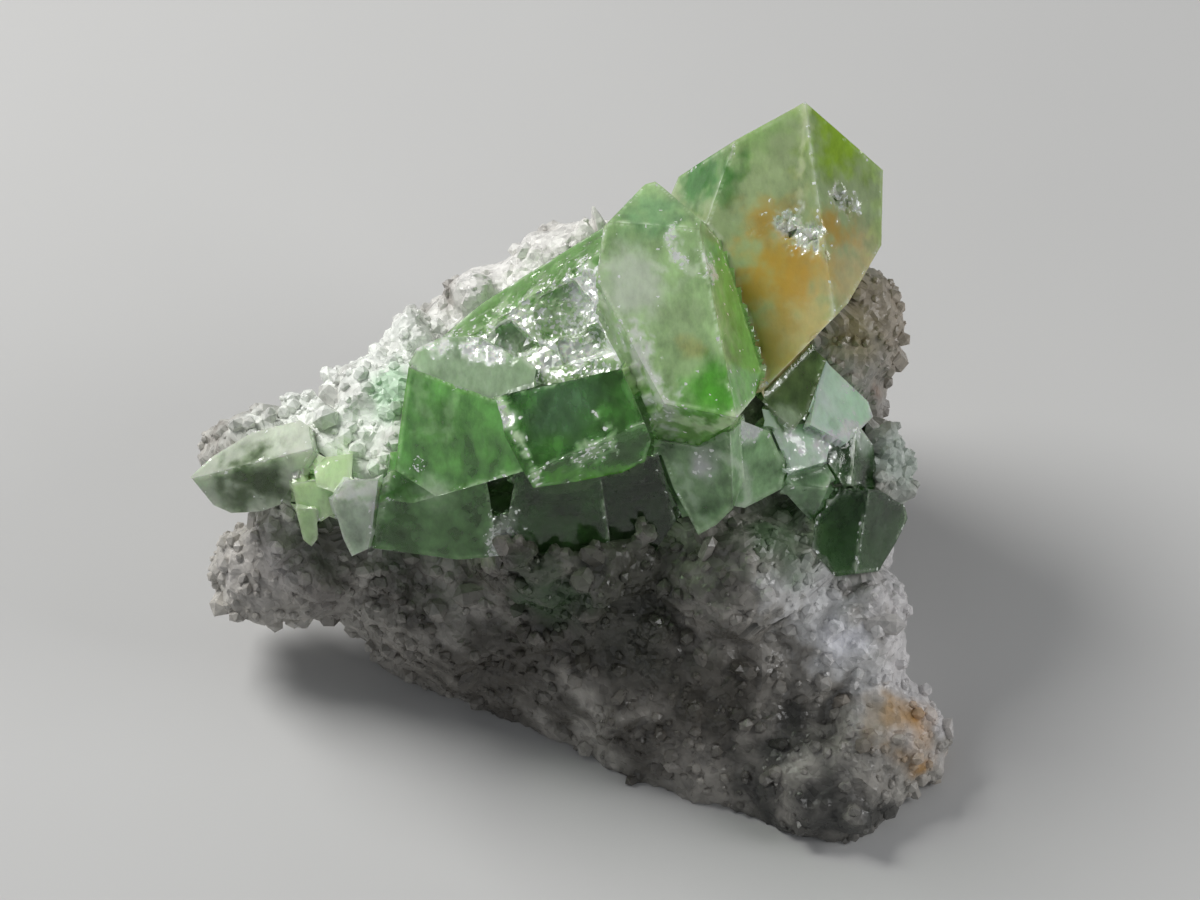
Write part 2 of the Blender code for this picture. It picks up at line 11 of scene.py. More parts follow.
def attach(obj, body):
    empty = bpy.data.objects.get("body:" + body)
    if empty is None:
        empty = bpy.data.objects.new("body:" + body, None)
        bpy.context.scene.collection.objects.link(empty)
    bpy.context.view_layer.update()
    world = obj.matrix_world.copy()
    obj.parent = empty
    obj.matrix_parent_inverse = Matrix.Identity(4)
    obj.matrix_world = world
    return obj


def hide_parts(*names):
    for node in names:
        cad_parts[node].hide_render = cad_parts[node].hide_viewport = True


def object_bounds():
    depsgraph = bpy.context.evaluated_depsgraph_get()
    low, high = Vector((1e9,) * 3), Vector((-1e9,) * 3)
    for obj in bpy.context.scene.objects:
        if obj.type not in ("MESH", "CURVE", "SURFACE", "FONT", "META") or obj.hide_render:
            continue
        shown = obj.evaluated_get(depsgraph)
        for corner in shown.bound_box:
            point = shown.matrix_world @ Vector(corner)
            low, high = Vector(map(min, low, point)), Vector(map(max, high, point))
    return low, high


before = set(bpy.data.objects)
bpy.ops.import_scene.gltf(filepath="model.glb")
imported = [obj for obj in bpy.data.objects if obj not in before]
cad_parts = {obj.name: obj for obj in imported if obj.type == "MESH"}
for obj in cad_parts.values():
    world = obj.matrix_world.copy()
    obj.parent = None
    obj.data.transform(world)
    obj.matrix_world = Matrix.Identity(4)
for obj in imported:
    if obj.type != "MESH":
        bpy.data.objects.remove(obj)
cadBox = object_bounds()
mm = 0.001
print("frame loaded:", len(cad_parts), "nodes")

view = {
    "elevation": math.radians(50.0),
    "distance": 200 * mm,
    "target": Vector((1.6, 0.1, 15.8)) * mm,
    "lens": 100.0,
}
towardEye = Vector((0.0, -math.cos(view["elevation"]), math.sin(view["elevation"])))
pictureUp = Vector((0.0, math.sin(view["elevation"]), math.cos(view["elevation"])))
pictureRight = Vector((1.0, 0.0, 0.0))
eye = view["target"] + towardEye * view["distance"]


def seen(across, up, toward):
    # the point seen that many millimetres across and up in the picture, and so far toward the eye
    onPicture = view["target"] + (pictureRight * across + pictureUp * up) * mm
    return onPicture + (eye - onPicture) * (toward * mm / view["distance"])


# Node trees


class wire:
    # a socket in a tree: maths on it adds nodes
    def __init__(self, bench, socket):
        self.bench = bench
        self.socket = socket

    def maths(self, operation, *values):
        return self.bench.node("ShaderNodeMath", {"operation": operation}, values)

    def __add__(self, other):
        return self.maths("ADD", self, other)

    def __mul__(self, other):
        return self.maths("MULTIPLY", self, other)

    def __sub__(self, other):
        return self.maths("SUBTRACT", self, other)

    def __rsub__(self, other):
        return self.maths("SUBTRACT", other, self)

    def __pow__(self, other):
        return self.maths("POWER", self, other)

    def __gt__(self, other):
        return self.maths("GREATER_THAN", self, other)

    __radd__ = __add__
    __rmul__ = __mul__


class bench:
    # where a node tree is put together
    def __init__(self, tree):
        self.tree = tree
        self.tree.nodes.clear()

    def node(self, kind, settings=None, values=None, output=0):
        node = self.tree.nodes.new(kind)
        for key, value in (settings or {}).items():
            if key == "stops":
                self.rampStops(node.color_ramp, value)
            else:
                setattr(node, key, value)
        if not isinstance(values, dict):
            values = dict(enumerate(values or ()))
        for key, value in values.items():
            if isinstance(value, wire):
                self.tree.links.new(value.socket, node.inputs[key])
            else:
                node.inputs[key].default_value = value
        return wire(self, node.outputs[output]) if node.outputs else node

    def rampStops(self, ramp, stops):
        while len(ramp.elements) < len(stops):
            ramp.elements.new(0.5)
        for element, (position, colour) in zip(ramp.elements, stops):
            element.position = position
            element.color = colour

    def blend(self, factor, first, second):
        settings = {"data_type": "RGBA"}
        return self.node("ShaderNodeMix", settings, {0: factor, 6: first, 7: second}, output=2)

    def tinted(self, first, second, factor=1.0):
        settings = {"data_type": "RGBA", "blend_type": "MULTIPLY"}
        return self.node("ShaderNodeMix", settings, {0: factor, 6: first, 7: second}, output=2)

    def grey(self, value):
        return self.node("ShaderNodeCombineColor", None, (value, value, value))

    def ease(self, value, low, high):
        # 0 below low, 1 above high, smooth between them
        settings = {"interpolation_type": "SMOOTHSTEP"}
        return self.node("ShaderNodeMapRange", settings, {0: value, 1: low, 2: high, 3: 0.0, 4: 1.0})

    def attribute(self, name, output):
        settings = {"attribute_type": "GEOMETRY", "attribute_name": name}
        return self.node("ShaderNodeAttribute", settings, None, output)

    def place(self):
        return self.node("ShaderNodeTexCoord", None, None, "Object")

    def clouds(self, place, size, detail=4.0, roughness=0.55, distortion=0.0):
        values = {"Vector": place, "Scale": 1 / size, "Detail": detail, "Roughness": roughness,
                  "Distortion": distortion}
        return self.node("ShaderNodeTexNoise", None, values, "Fac")

    def cells(self, place, size, output="Distance", feature="F1"):
        values = {"Vector": place, "Scale": 1 / size}
        return self.node("ShaderNodeTexVoronoi", {"feature": feature}, values, output)

    def stretched(self, place, scale, turn=(0.0, 0.0, 0.0)):
        return self.node("ShaderNodeMapping", None, {"Vector": place, "Scale": scale, "Rotation": turn})

    def bump(self, height, distance, strength=1.0, normal=None):
        values = {"Height": height, "Distance": distance, "Strength": strength}
        if normal is not None:
            values["Normal"] = normal
        return self.node("ShaderNodeBump", None, values)

    def mixShaders(self, factor, first, second):
        return self.node("ShaderNodeMixShader", None, {0: factor, 1: first, 2: second})


def newMaterial(name):
    material = bpy.data.materials.new(name)
    material.use_nodes = True
    return material, bench(material.node_tree)


# Materials

quartzLook = {
    "grain": 0.42 * mm,
    "shine": (0.18, 0.55),
    "relief": 0.06 * mm,
    "ior": 1.55,
}


def quartzMaterial(name, look):
    # granular quartz: each grain has its own lightness and its own shine
    material, b = newMaterial(name)
    place = b.place()
    tint = b.attribute("tint", "Color")
    grainRandom = b.node("ShaderNodeSeparateColor", None, {0: b.cells(place, look["grain"], "Color")})
    fine = b.clouds(place, 0.6 * mm, 4.0, 0.7)
    lightness = 0.5 + grainRandom * 0.3 + fine * 0.75
    shine = look["shine"][0] + (look["shine"][1] - look["shine"][0]) * grainRandom
    relief = b.bump(fine + grainRandom * 0.5, look["relief"], 0.9)
    shader = b.node("ShaderNodeBsdfPrincipled", None, {
        "Base Color": b.tinted(tint, b.grey(lightness)), "Roughness": shine, "Normal": relief,
        "IOR": look["ior"],
    })
    b.node("ShaderNodeOutputMaterial", None, {"Surface": shader})
    return material


augeliteLook = {
    "ior": 1.58,
    "absorb": (0.3, 0.7, 0.12),
    "density": 60.0,
    "gloss": 0.05,
    "milkColour": (1.0, 1.0, 1.0, 1.0),
    "stainColour": (0.56, 0.33, 0.045, 1.0),
    "flakes": 0.17 * mm,
    "seepRadius": (1.6 * mm, 2.4 * mm, 1.2 * mm),
    "seep": 0.5,
    "lampShare": 0.85,
}


def augeliteMaterial(name, **changes):
    # clear green glass with milky clouds, iron stain and silvery broken flakes painted on the mesh
    look = {**augeliteLook, **changes}
    material, b = newMaterial(name)
    place = b.place()
    tint = b.attribute("tint", "Color")
    milk = b.attribute("milk", "Fac")
    stain = b.attribute("stain", "Fac")
    glitter = b.attribute("glitter", "Fac")
    fine = b.clouds(b.stretched(place, (1.0, 0.5, 0.7), (0.5, 0.3, 0.7)), 0.7 * mm, 4.0, 0.65)
    cloudy = b.ease(milk + (fine - 0.5) * 0.45, 0.0, 0.95)
    flakeRandom = b.node("ShaderNodeSeparateColor", None, {0: b.cells(place, look["flakes"], "Color")})
    flakes = flakeRandom + glitter * 0.75 > 1.0
    stained = b.ease(stain + (fine - 0.5) * 0.35, 0.05, 1.0) * 0.9
    body = b.tinted(tint, b.grey(0.74 + fine * 0.5))
    ripples = b.clouds(b.stretched(place, (0.4, 1.0, 1.0), (0.3, 0.8, 0.2)), 1.6 * mm, 2.0)
    relief = b.bump(fine * 0.8 + ripples * 1.6, 0.06 * mm, 0.7)
    gloss = look["gloss"] + cloudy * 0.05
    glass = b.node("ShaderNodeBsdfPrincipled", None, {
        "Base Color": b.blend(stained, b.blend(0.5, tint, (1.0, 1.0, 1.0, 1.0)), look["stainColour"]),
        "Roughness": gloss, "Normal": relief, "IOR": look["ior"], "Transmission Weight": 1.0,
    })
    haze = b.node("ShaderNodeBsdfPrincipled", None, {
        "Base Color": b.blend(stained, body, look["stainColour"]), "Roughness": gloss + 0.02,
        "Normal": relief, "IOR": look["ior"], "Subsurface Weight": look["seep"],
        "Subsurface Radius": look["seepRadius"], "Subsurface Scale": 1.0,
    })
    silver = b.node("ShaderNodeBsdfPrincipled", None, {
        "Base Color": (0.86, 0.9, 0.86, 1.0), "Metallic": 0.6, "Roughness": 0.2 + flakeRandom * 0.2,
        "Normal": relief, "IOR": look["ior"],
    })
    surface = b.mixShaders(cloudy, glass, haze)
    surface = b.mixShaders(flakes, surface, silver)
    lamps = b.node("ShaderNodeLightPath", None, None, "Is Shadow Ray")
    opening = b.node("ShaderNodeBsdfTransparent", None, {"Color": (0.86, 0.94, 0.84, 1.0)})
    surface = b.mixShaders(lamps * (1 - cloudy) * look["lampShare"], surface, opening)
    volume = b.node("ShaderNodeVolumeAbsorption", None, {
        "Color": (*look["absorb"], 1.0), "Density": look["density"],
    })
    b.node("ShaderNodeOutputMaterial", None, {"Surface": surface, "Volume": volume})
    return material


# Painting by place

def softly(share):
    share = np.clip(share, 0.0, 1.0)
    return share * share * (3 - 2 * share)


def unevenness(points, size=1.8 * mm):
    return np.array([noise.fractal(Vector(point) / size, 0.7, 2.0, 3) for point in points])


def pictured(points):
    # where points are seen in the picture, in millimetres across and up
    rays = points - np.array(eye)
    ahead = rays @ -np.array(towardEye)
    onPicture = rays * (view["distance"] / ahead)[:, None] + np.array(eye - view["target"])
    return np.stack([onPicture @ np.array(pictureRight), onPicture @ np.array(pictureUp)], axis=1) / mm


def brush(points, rims, spot):
    # how much a spot covers each point: it has an uneven rim, and runs deeper along the line of sight
    broad, fine = rims
    if "line" in spot:
        warp = fine * spot.get("warp", 1.1)
        flat = pictured(points)
        distance = np.full(len(points), np.inf)
        line = np.array(spot["line"], float)
        for start, end in zip(line[:-1], line[1:]):
            along = np.clip((flat - start) @ (end - start) / ((end - start) ** 2).sum(), 0.0, 1.0)
            nearest = start + along[:, None] * (end - start)
            distance = np.minimum(distance, np.linalg.norm(flat - nearest, axis=1))
        return softly((1 - distance / spot["wide"] - warp) / spot.get("edge", 0.9))
    warp = broad * spot.get("warp", 0.35) + fine * 0.15
    offset = points - np.array(seen(*spot["at"]))
    deep = offset @ np.array(towardEye)
    across = offset - np.outer(deep, np.array(towardEye))
    distance = np.sqrt((across ** 2).sum(axis=1) + (deep * spot.get("through", 0.5)) ** 2)
    return softly((1 - distance / (spot["reach"] * mm) - warp) / spot.get("edge", 0.8))


def corners(mesh):
    # the vertex of each face corner, the face of each face corner, and the vertices' places
    vertexOf = np.zeros(len(mesh.loops), np.int32)
    mesh.loops.foreach_get("vertex_index", vertexOf)
    sizes = np.zeros(len(mesh.polygons), np.int32)
    mesh.polygons.foreach_get("loop_total", sizes)
    faceOf = np.repeat(np.arange(len(mesh.polygons)), sizes)
    points = np.zeros(len(mesh.vertices) * 3, np.float32)
    mesh.vertices.foreach_get("co", points)
    return vertexOf, faceOf, points.reshape(-1, 3).astype(float)


def writeAttribute(mesh, name, kind, domain, values):
    attribute = mesh.attributes.new(name, kind, domain)
    key = "color" if kind == "FLOAT_COLOR" else "value"
    attribute.data.foreach_set(key, np.asarray(values, np.float32).ravel())


channels = ("red", "green", "blue", "milk", "stain", "glitter")


def asRow(values):
    return [*values["tint"], values.get("milk", 0.5), values.get("stain", 0.0), values.get("glitter", 0.0)]


def paintCrystal(mesh, habits, spots, near):
    # each flat face takes its crystal's own values, the spots are painted over them, and the sharp edges
    # whiten, partly as wear and partly as a painted highlight
    vertexOf, faceOf, points = corners(mesh)
    habitOf = np.zeros(len(mesh.polygons), np.int32)
    mesh.attributes["habit"].data.foreach_get("value", habitOf)
    habitOf = habitOf[faceOf]
    values = np.array([asRow(habit) for habit in habits])[habitOf]
    rims = (unevenness(points), unevenness(points, 0.7 * mm))
    broad = unevenness(points, 3.4 * mm)
    values[:, :3] *= (1 + paintLook["uneven"] * broad[vertexOf])[:, None]
    values[:, 3] += paintLook["unevenMilk"] * rims[0][vertexOf]
    for spot in spots:
        cover = (brush(points, rims, spot) * spot.get("strength", 1.0))[vertexOf]
        if "on" in spot:
            cover = cover * np.isin(habitOf, spot["on"])
        for index, channel in enumerate(channels):
            if channel in spot:
                values[:, index] += (spot[channel] - values[:, index]) * cover
    # the sharp edges whiten and glitter: partly wear, partly a painted highlight
    edge = (near * np.clip(0.5 + rims[0] + rims[1], 0.0, 1.0) * paintLook["edge"])[vertexOf]
    values[:, :3] += (np.array(paintLook["wornEdgeAndHighlightColour"]) - values[:, :3]) * edge[:, None]
    values[:, 3] += edge * 0.6
    values[:, 5] += edge * paintLook["wornEdgeAndHighlightGlitter"]
    tint = np.ones((len(values), 4))
    tint[:, :3] = np.clip(values[:, :3], 0.0, 0.95)
    writeAttribute(mesh, "tint", "FLOAT_COLOR", "CORNER", tint)
    for index, name in enumerate(channels[3:], start=3):
        writeAttribute(mesh, name, "FLOAT", "CORNER", values[:, index])
    mesh.attributes.remove(mesh.attributes["habit"])


paintLook = {
    "uneven": 0.2,
    "unevenMilk": 0.2,
    # how much the sharp edges whiten, as wear and as painted highlight
    "edge": 0.55,
    "wornEdgeAndHighlightColour": (0.8, 0.86, 0.74),
    "wornEdgeAndHighlightGlitter": 0.3,
}


# Crystals

crystalForm = {
    "merge": 0.002 * mm,
    "flat": math.radians(1.0),
    "crease": math.radians(14.0),
    "longestEdge": 0.32 * mm,
    "splits": 7,
    "wear": 0.07 * mm,        # how far a sharp edge is worn back
    "wearReach": 0.32 * mm,
    "chip": 0.22 * mm,        # how deep its chips go
    "chipSize": 1.1 * mm,
    "step": 0.035 * mm,       # the growth steps on the flat faces
    "stepSize": 3.2 * mm,
    "plateSize": 0.5 * mm,    # the broken areas' flakes
    "plateTilt": 0.17,
    "gap": 0.9 * mm,          # crystals nearer to one another than this grow together
    "gapStart": 0.03 * mm,
    "gapFacing": -0.3,
}


def flatFaces(nodeName):
    # a node's loose triangles, merged back into its flat faces
    bm = bmesh.new()
    bm.from_mesh(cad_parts[nodeName].data)
    bmesh.ops.remove_doubles(bm, verts=bm.verts[:], dist=crystalForm["merge"])
    bmesh.ops.dissolve_limit(bm, angle_limit=crystalForm["flat"], verts=bm.verts[:], edges=bm.edges[:])
    return bm


def splitLongEdges(bm, longest, rounds):
    for _ in range(rounds):
        longEdges = [edge for edge in bm.edges if edge.calc_length() > longest]
        bmesh.ops.subdivide_edges(bm, edges=longEdges, cuts=1)
        bmesh.ops.triangulate(bm, faces=[face for face in bm.faces if len(face.verts) > 3])


def creaseTree(bm, angle):
    # points along the sharp outer edges, to measure from
    sharp = [edge for edge in bm.edges
             if len(edge.link_faces) == 2 and edge.is_convex and edge.calc_face_angle() > angle]
    tree = KDTree(max(1, 2 * len(sharp)))
    for index, edge in enumerate(sharp):
        tree.insert(edge.verts[0].co, 2 * index)
        tree.insert((edge.verts[0].co + edge.verts[1].co) / 2, 2 * index + 1)
    tree.balance()
    return tree


def crystalTree():
    whole = bmesh.new()
    for nodeName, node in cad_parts.items():
        if nodeName != "quartz_matrix":
            whole.from_mesh(node.data)
    tree = BVHTree.FromBMesh(whole)
    whole.free()
    return tree


def grownTogether(bm, crystals, form):
    # how far each point grows along its normal, half way over the narrow gap to a neighbouring crystal
    growth = []
    for vert in bm.verts:
        start = vert.co + vert.normal * form["gapStart"]
        _, normal, _, distance = crystals.ray_cast(start, vert.normal, form["gap"])
        meets = distance is not None and normal.dot(vert.normal) < form["gapFacing"]
        growth.append(distance * 0.5 + form["gapStart"] if meets else 0.0)
    return growth


def plates(point, size):
    # the height of flat flakes, each with its own slant, from -1 to 1
    distances, seeds = noise.voronoi(point / size)
    slant = noise.noise_vector(seeds[0] * 7.3)
    return slant.dot(point / size - seeds[0]) * 1.6 + noise.noise(seeds[0] * 3.1) * 0.5


def crystalPiece(name, nodeNames, material, slot, habits, spots=(), broken=(), form=crystalForm):
    bm = flatFaces(nodeNames[0])
    anchors = [seen(*habit["at"]) for habit in habits]
    layer = bm.faces.layers.int.new("habit")
    for face in bm.faces:
        middle = face.calc_center_median_weighted()
        face[layer] = min(range(len(anchors)), key=lambda index: (anchors[index] - middle).length)
    bmesh.ops.triangulate(bm, faces=bm.faces[:])
    splitLongEdges(bm, form["longestEdge"], form["splits"])
    bm.normal_update()
    tree = creaseTree(bm, form["crease"])
    points = np.array([vert.co for vert in bm.verts])
    rough = np.zeros(len(points))
    rims = (unevenness(points), unevenness(points, 0.7 * mm))
    for spot in broken:
        rough = np.maximum(rough, brush(points, rims, spot))
    moves = []
    nearness = []
    growth = grownTogether(bm, crystals, form)
    for vert, roughness, grown in zip(bm.verts, rough, growth):
        place = vert.co
        distance = tree.find(place)[2] or 1.0
        near = float(softly(1 - distance / form["wearReach"]))
        nearness.append(near)
        chip = max(0.0, noise.noise(place / form["chipSize"] + Vector((7.0, 3.0, 1.0))) - 0.25) * 1.8
        worn = near * (form["wear"] * (0.5 + 0.5 * noise.noise(place / (0.6 * mm))) + form["chip"] * chip)
        growth = noise.fractal(place / form["stepSize"], 0.6, 2.0, 3) * 4.0
        stepped = math.floor(growth) + float(softly((growth - math.floor(growth)) * 2.2))
        lowered = form["step"] * 0.5 * (1.0 + stepped * 0.3) * (1 - near)
        flake = roughness * form["plateTilt"] * mm * (1.0 - plates(place, form["plateSize"]))
        moves.append(vert.normal * (grown or -max(0.0, worn + lowered + flake)))
    for vert, move in zip(bm.verts, moves):
        vert.co += move
    roughAt = {vert: roughness for vert, roughness in zip(bm.verts, rough)}
    flatShaded = [min(roughAt[vert] for vert in face.verts) > 0.35 for face in bm.faces]
    mesh = bpy.data.meshes.new(name)
    bm.to_mesh(mesh)
    bm.free()
    paintCrystal(mesh, habits, spots, np.array(nearness))
    mesh.shade_smooth()
    mesh.set_sharp_from_angle(angle=form["crease"])
    mesh.polygons.foreach_set("use_smooth", [not flat for flat in flatShaded])
    mesh.materials.append(material)
    obj = bpy.data.objects.new(name, mesh)
    bpy.context.scene.collection.objects.link(obj)
    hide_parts(*nodeNames)
    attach(obj, "root")
    print(name + ":", len(mesh.polygons), "triangles")
    return obj


crystals = crystalTree()
green = augeliteMaterial("augelite green")
stained = augeliteMaterial("augelite stained", absorb=(0.5, 0.66, 0.12), density=45.0)
pale = augeliteMaterial("augelite pale", absorb=(0.36, 0.66, 0.3), density=50.0)
mint = augeliteMaterial("augelite mint", absorb=(0.35, 0.7, 0.4), density=60.0)
dark = augeliteMaterial("augelite dark", density=240.0)
print("crystal materials made")

mainCluster = {
    "habits": [
        # centre crystal, then its broken left half, the pale slab, the left block and its foot
        {"at": (4.8, 7.6, 10.4), "tint": (0.4, 0.58, 0.28), "milk": 0.66, "glitter": 0.01},
        {"at": (-2.4, 8.4, 7.2), "tint": (0.4, 0.58, 0.3), "milk": 0.62, "glitter": 0.3},
        {"at": (-7.8, 5.2, 7.8), "tint": (0.4, 0.54, 0.35), "milk": 0.66},
        {"at": (-9.0, 1.0, 8.8), "tint": (0.24, 0.62, 0.14), "milk": 0.45},
        {"at": (-11.6, -1.6, 7.6), "tint": (0.24, 0.56, 0.15), "milk": 0.45},
        # middle block, then the lower shelf, whose three near-black parts are painted shade under the
        # overhang
        {"at": (-1.8, 1.2, 11.6), "tint": (0.15, 0.46, 0.09), "milk": 0.3},
        {"at": (-9.8, -4.2, 6.2), "tint": (0.24, 0.48, 0.18), "milk": 0.4},
        {"at": (-2.6, -5.0, 5.0), "tint": (0.06, 0.17, 0.04), "milk": 0.35},
        {"at": (2.4, -4.4, 4.4), "tint": (0.03, 0.08, 0.02), "milk": 0.35},
        {"at": (-6.0, -3.6, 3.6), "tint": (0.04, 0.1, 0.02), "milk": 0.35},
    ],
    "spots": [
        # centre crystal: milky left side, clear green right edge and foot, a lilac veil, white glints
        {"at": (2.0, 9.6, 9.6), "reach": 3.2, "on": 0, "red": 0.54, "green": 0.62, "blue": 0.48, "milk": 0.9},
        {"at": (3.0, 14.6, 8.6), "reach": 2.4, "on": 0, "red": 0.28, "green": 0.5, "blue": 0.24},
        {"at": (5.0, 8.0, 10.2), "reach": 2.2, "on": 0, "red": 0.42, "green": 0.58, "blue": 0.3,
         "milk": 0.65},
        {"line": [(7.6, 11.6), (9.0, 6.6), (9.2, 3.4)], "wide": 1.9, "warp": 0.3, "on": 0, "red": 0.3,
         "green": 0.72, "blue": 0.16, "milk": 0.6},
        {"at": (6.6, 3.2, 11.4), "reach": 2.6, "on": 0, "red": 0.16, "green": 0.58, "blue": 0.06,
         "milk": 0.5},
        {"at": (6.0, 0.8, 11.0), "reach": 2.8, "on": 0, "red": 0.3, "green": 0.68, "blue": 0.16,
         "milk": 0.5},
        {"at": (2.4, 2.6, 10.6), "reach": 2.2, "on": 0, "red": 0.34, "green": 0.7, "blue": 0.16,
         "milk": 0.5},
        {"line": [(1.9, 6.7), (3.2, 4.2), (4.2, 2.0)], "wide": 1.0, "on": 0, "red": 0.7,
         "green": 0.7, "blue": 0.7, "milk": 0.9, "glitter": 0.1, "strength": 0.75},
        {"line": [(4.4, 13.0), (4.7, 11.1)], "wide": 0.5, "red": 0.8, "green": 0.84, "blue": 0.78,
         "milk": 0.9, "glitter": 0.8, "strength": 0.7},
        {"line": [(6.1, 11.8), (6.7, 10.4)], "wide": 0.4, "red": 0.9, "green": 0.95, "blue": 0.85,
         "milk": 0.9, "glitter": 0.8},
        {"line": [(3.4, 10.9), (5.0, 10.6), (6.2, 11.0)], "wide": 0.45, "red": 0.7, "green": 0.76,
         "blue": 0.64, "milk": 0.9, "strength": 0.45},
        {"line": [(4.6, 1.9), (6.6, 1.3), (8.8, 2.4)], "wide": 0.4, "red": 0.6, "green": 0.8,
         "blue": 0.45, "milk": 0.8},
        {"at": (5.4, 6.0, 10.8), "reach": 1.3, "on": 0, "stain": 0.4},
        # the silvery broken half, whitest at its right, with a smooth green band along its outer edge
        {"at": (-0.9, 9.2, 8.0), "reach": 2.8, "on": 1, "red": 0.9, "green": 0.93, "blue": 0.88,
         "milk": 0.95, "glitter": 0.95},
        {"line": [(-4.6, 5.4), (-2.0, 5.6), (0.6, 6.2)], "wide": 1.3, "on": 1, "red": 0.85, "green": 0.9,
         "blue": 0.8, "milk": 0.9, "glitter": 0.85},
        {"at": (-5.4, 7.8, 6.8), "reach": 2.0, "on": 1, "red": 0.8, "green": 0.86, "blue": 0.74,
         "milk": 0.85, "glitter": 0.6},
        {"line": [(0.8, 13.9), (-7.2, 8.9), (-9.8, 7.0)], "wide": 1.5, "on": 1, "red": 0.26, "green": 0.48,
         "blue": 0.17, "milk": 0.6, "glitter": 0.0, "edge": 0.4},
        # the pale slab's glittering upper edge
        {"line": [(-11.0, 6.7), (-8.6, 6.2), (-6.0, 5.9)], "wide": 0.8, "red": 0.88, "green": 0.93,
         "blue": 0.86, "milk": 0.9, "glitter": 0.6},
        # hazy streaks and glints in the left block
        {"line": [(-11.0, 4.0), (-10.4, 0.9)], "wide": 0.8, "red": 0.42, "green": 0.64, "blue": 0.32,
         "milk": 0.7, "strength": 0.5},
        {"line": [(-8.8, 3.4), (-9.2, 0.6)], "wide": 0.45, "red": 0.42, "green": 0.64, "blue": 0.32,
         "milk": 0.7, "strength": 0.5},
        {"at": (-10.9, -0.9, 8.0), "reach": 0.5, "glitter": 0.7},
        {"at": (-9.8, -2.7, 7.0), "reach": 1.7, "red": 0.44, "green": 0.6, "blue": 0.38, "milk": 0.8},
        # middle block: smoky above, bright green at its lower rim, glints at its left edge and low right
        {"at": (-2.4, 2.6, 11.6), "reach": 3.2, "on": 5, "red": 0.19, "green": 0.4, "blue": 0.19,
         "milk": 0.36},
        {"line": [(-3.6, -1.7), (0.4, -1.5), (2.9, -1.0)], "wide": 1.0, "on": 5, "red": 0.16,
         "green": 0.55, "blue": 0.05, "milk": 0.5, "warp": 0.4},
        {"at": (-5.5, 1.9, 11.6), "reach": 1.0, "on": 5, "red": 0.9, "green": 0.93, "blue": 0.88,
         "milk": 0.9, "glitter": 0.95},
        {"line": [(-6.1, 3.2), (-3.6, -2.0)], "wide": 0.35, "on": 5, "red": 0.7, "green": 0.84,
         "blue": 0.6, "milk": 0.8, "glitter": 0.5, "strength": 0.8},
        {"line": [(-1.4, -0.6), (-0.4, 0.0), (0.5, 0.3)], "wide": 0.7, "on": 5, "red": 0.6,
         "green": 0.78, "blue": 0.5, "milk": 0.7, "glitter": 0.6, "strength": 0.7},
        {"line": [(-0.2, 2.2), (0.4, 1.5)], "wide": 0.3, "on": 5, "red": 0.6, "green": 0.76, "blue": 0.5,
         "milk": 0.8, "glitter": 0.7, "strength": 0.6},
        # a glittering patch low on the shelf
        {"at": (-5.6, -5.2, 5.0), "reach": 1.9, "red": 0.7, "green": 0.76, "blue": 0.68, "milk": 0.8,
         "glitter": 0.6, "through": 0.2},
    ],
    "broken": [
        {"at": (-2.4, 8.6, 7.6), "reach": 3.0, "edge": 0.4},
        {"at": (-5.4, 7.2, 6.6), "reach": 2.4, "edge": 0.4},
        {"at": (-1.4, 6.0, 8.0), "reach": 2.2, "edge": 0.4},
        {"at": (-5.5, 1.9, 11.6), "reach": 0.9},
        {"at": (-5.6, -5.2, 5.0), "reach": 1.7},
    ],
}
crystalPiece("main_cluster", ["augelite_main_cluster"], green, "augelite_green", **mainCluster)

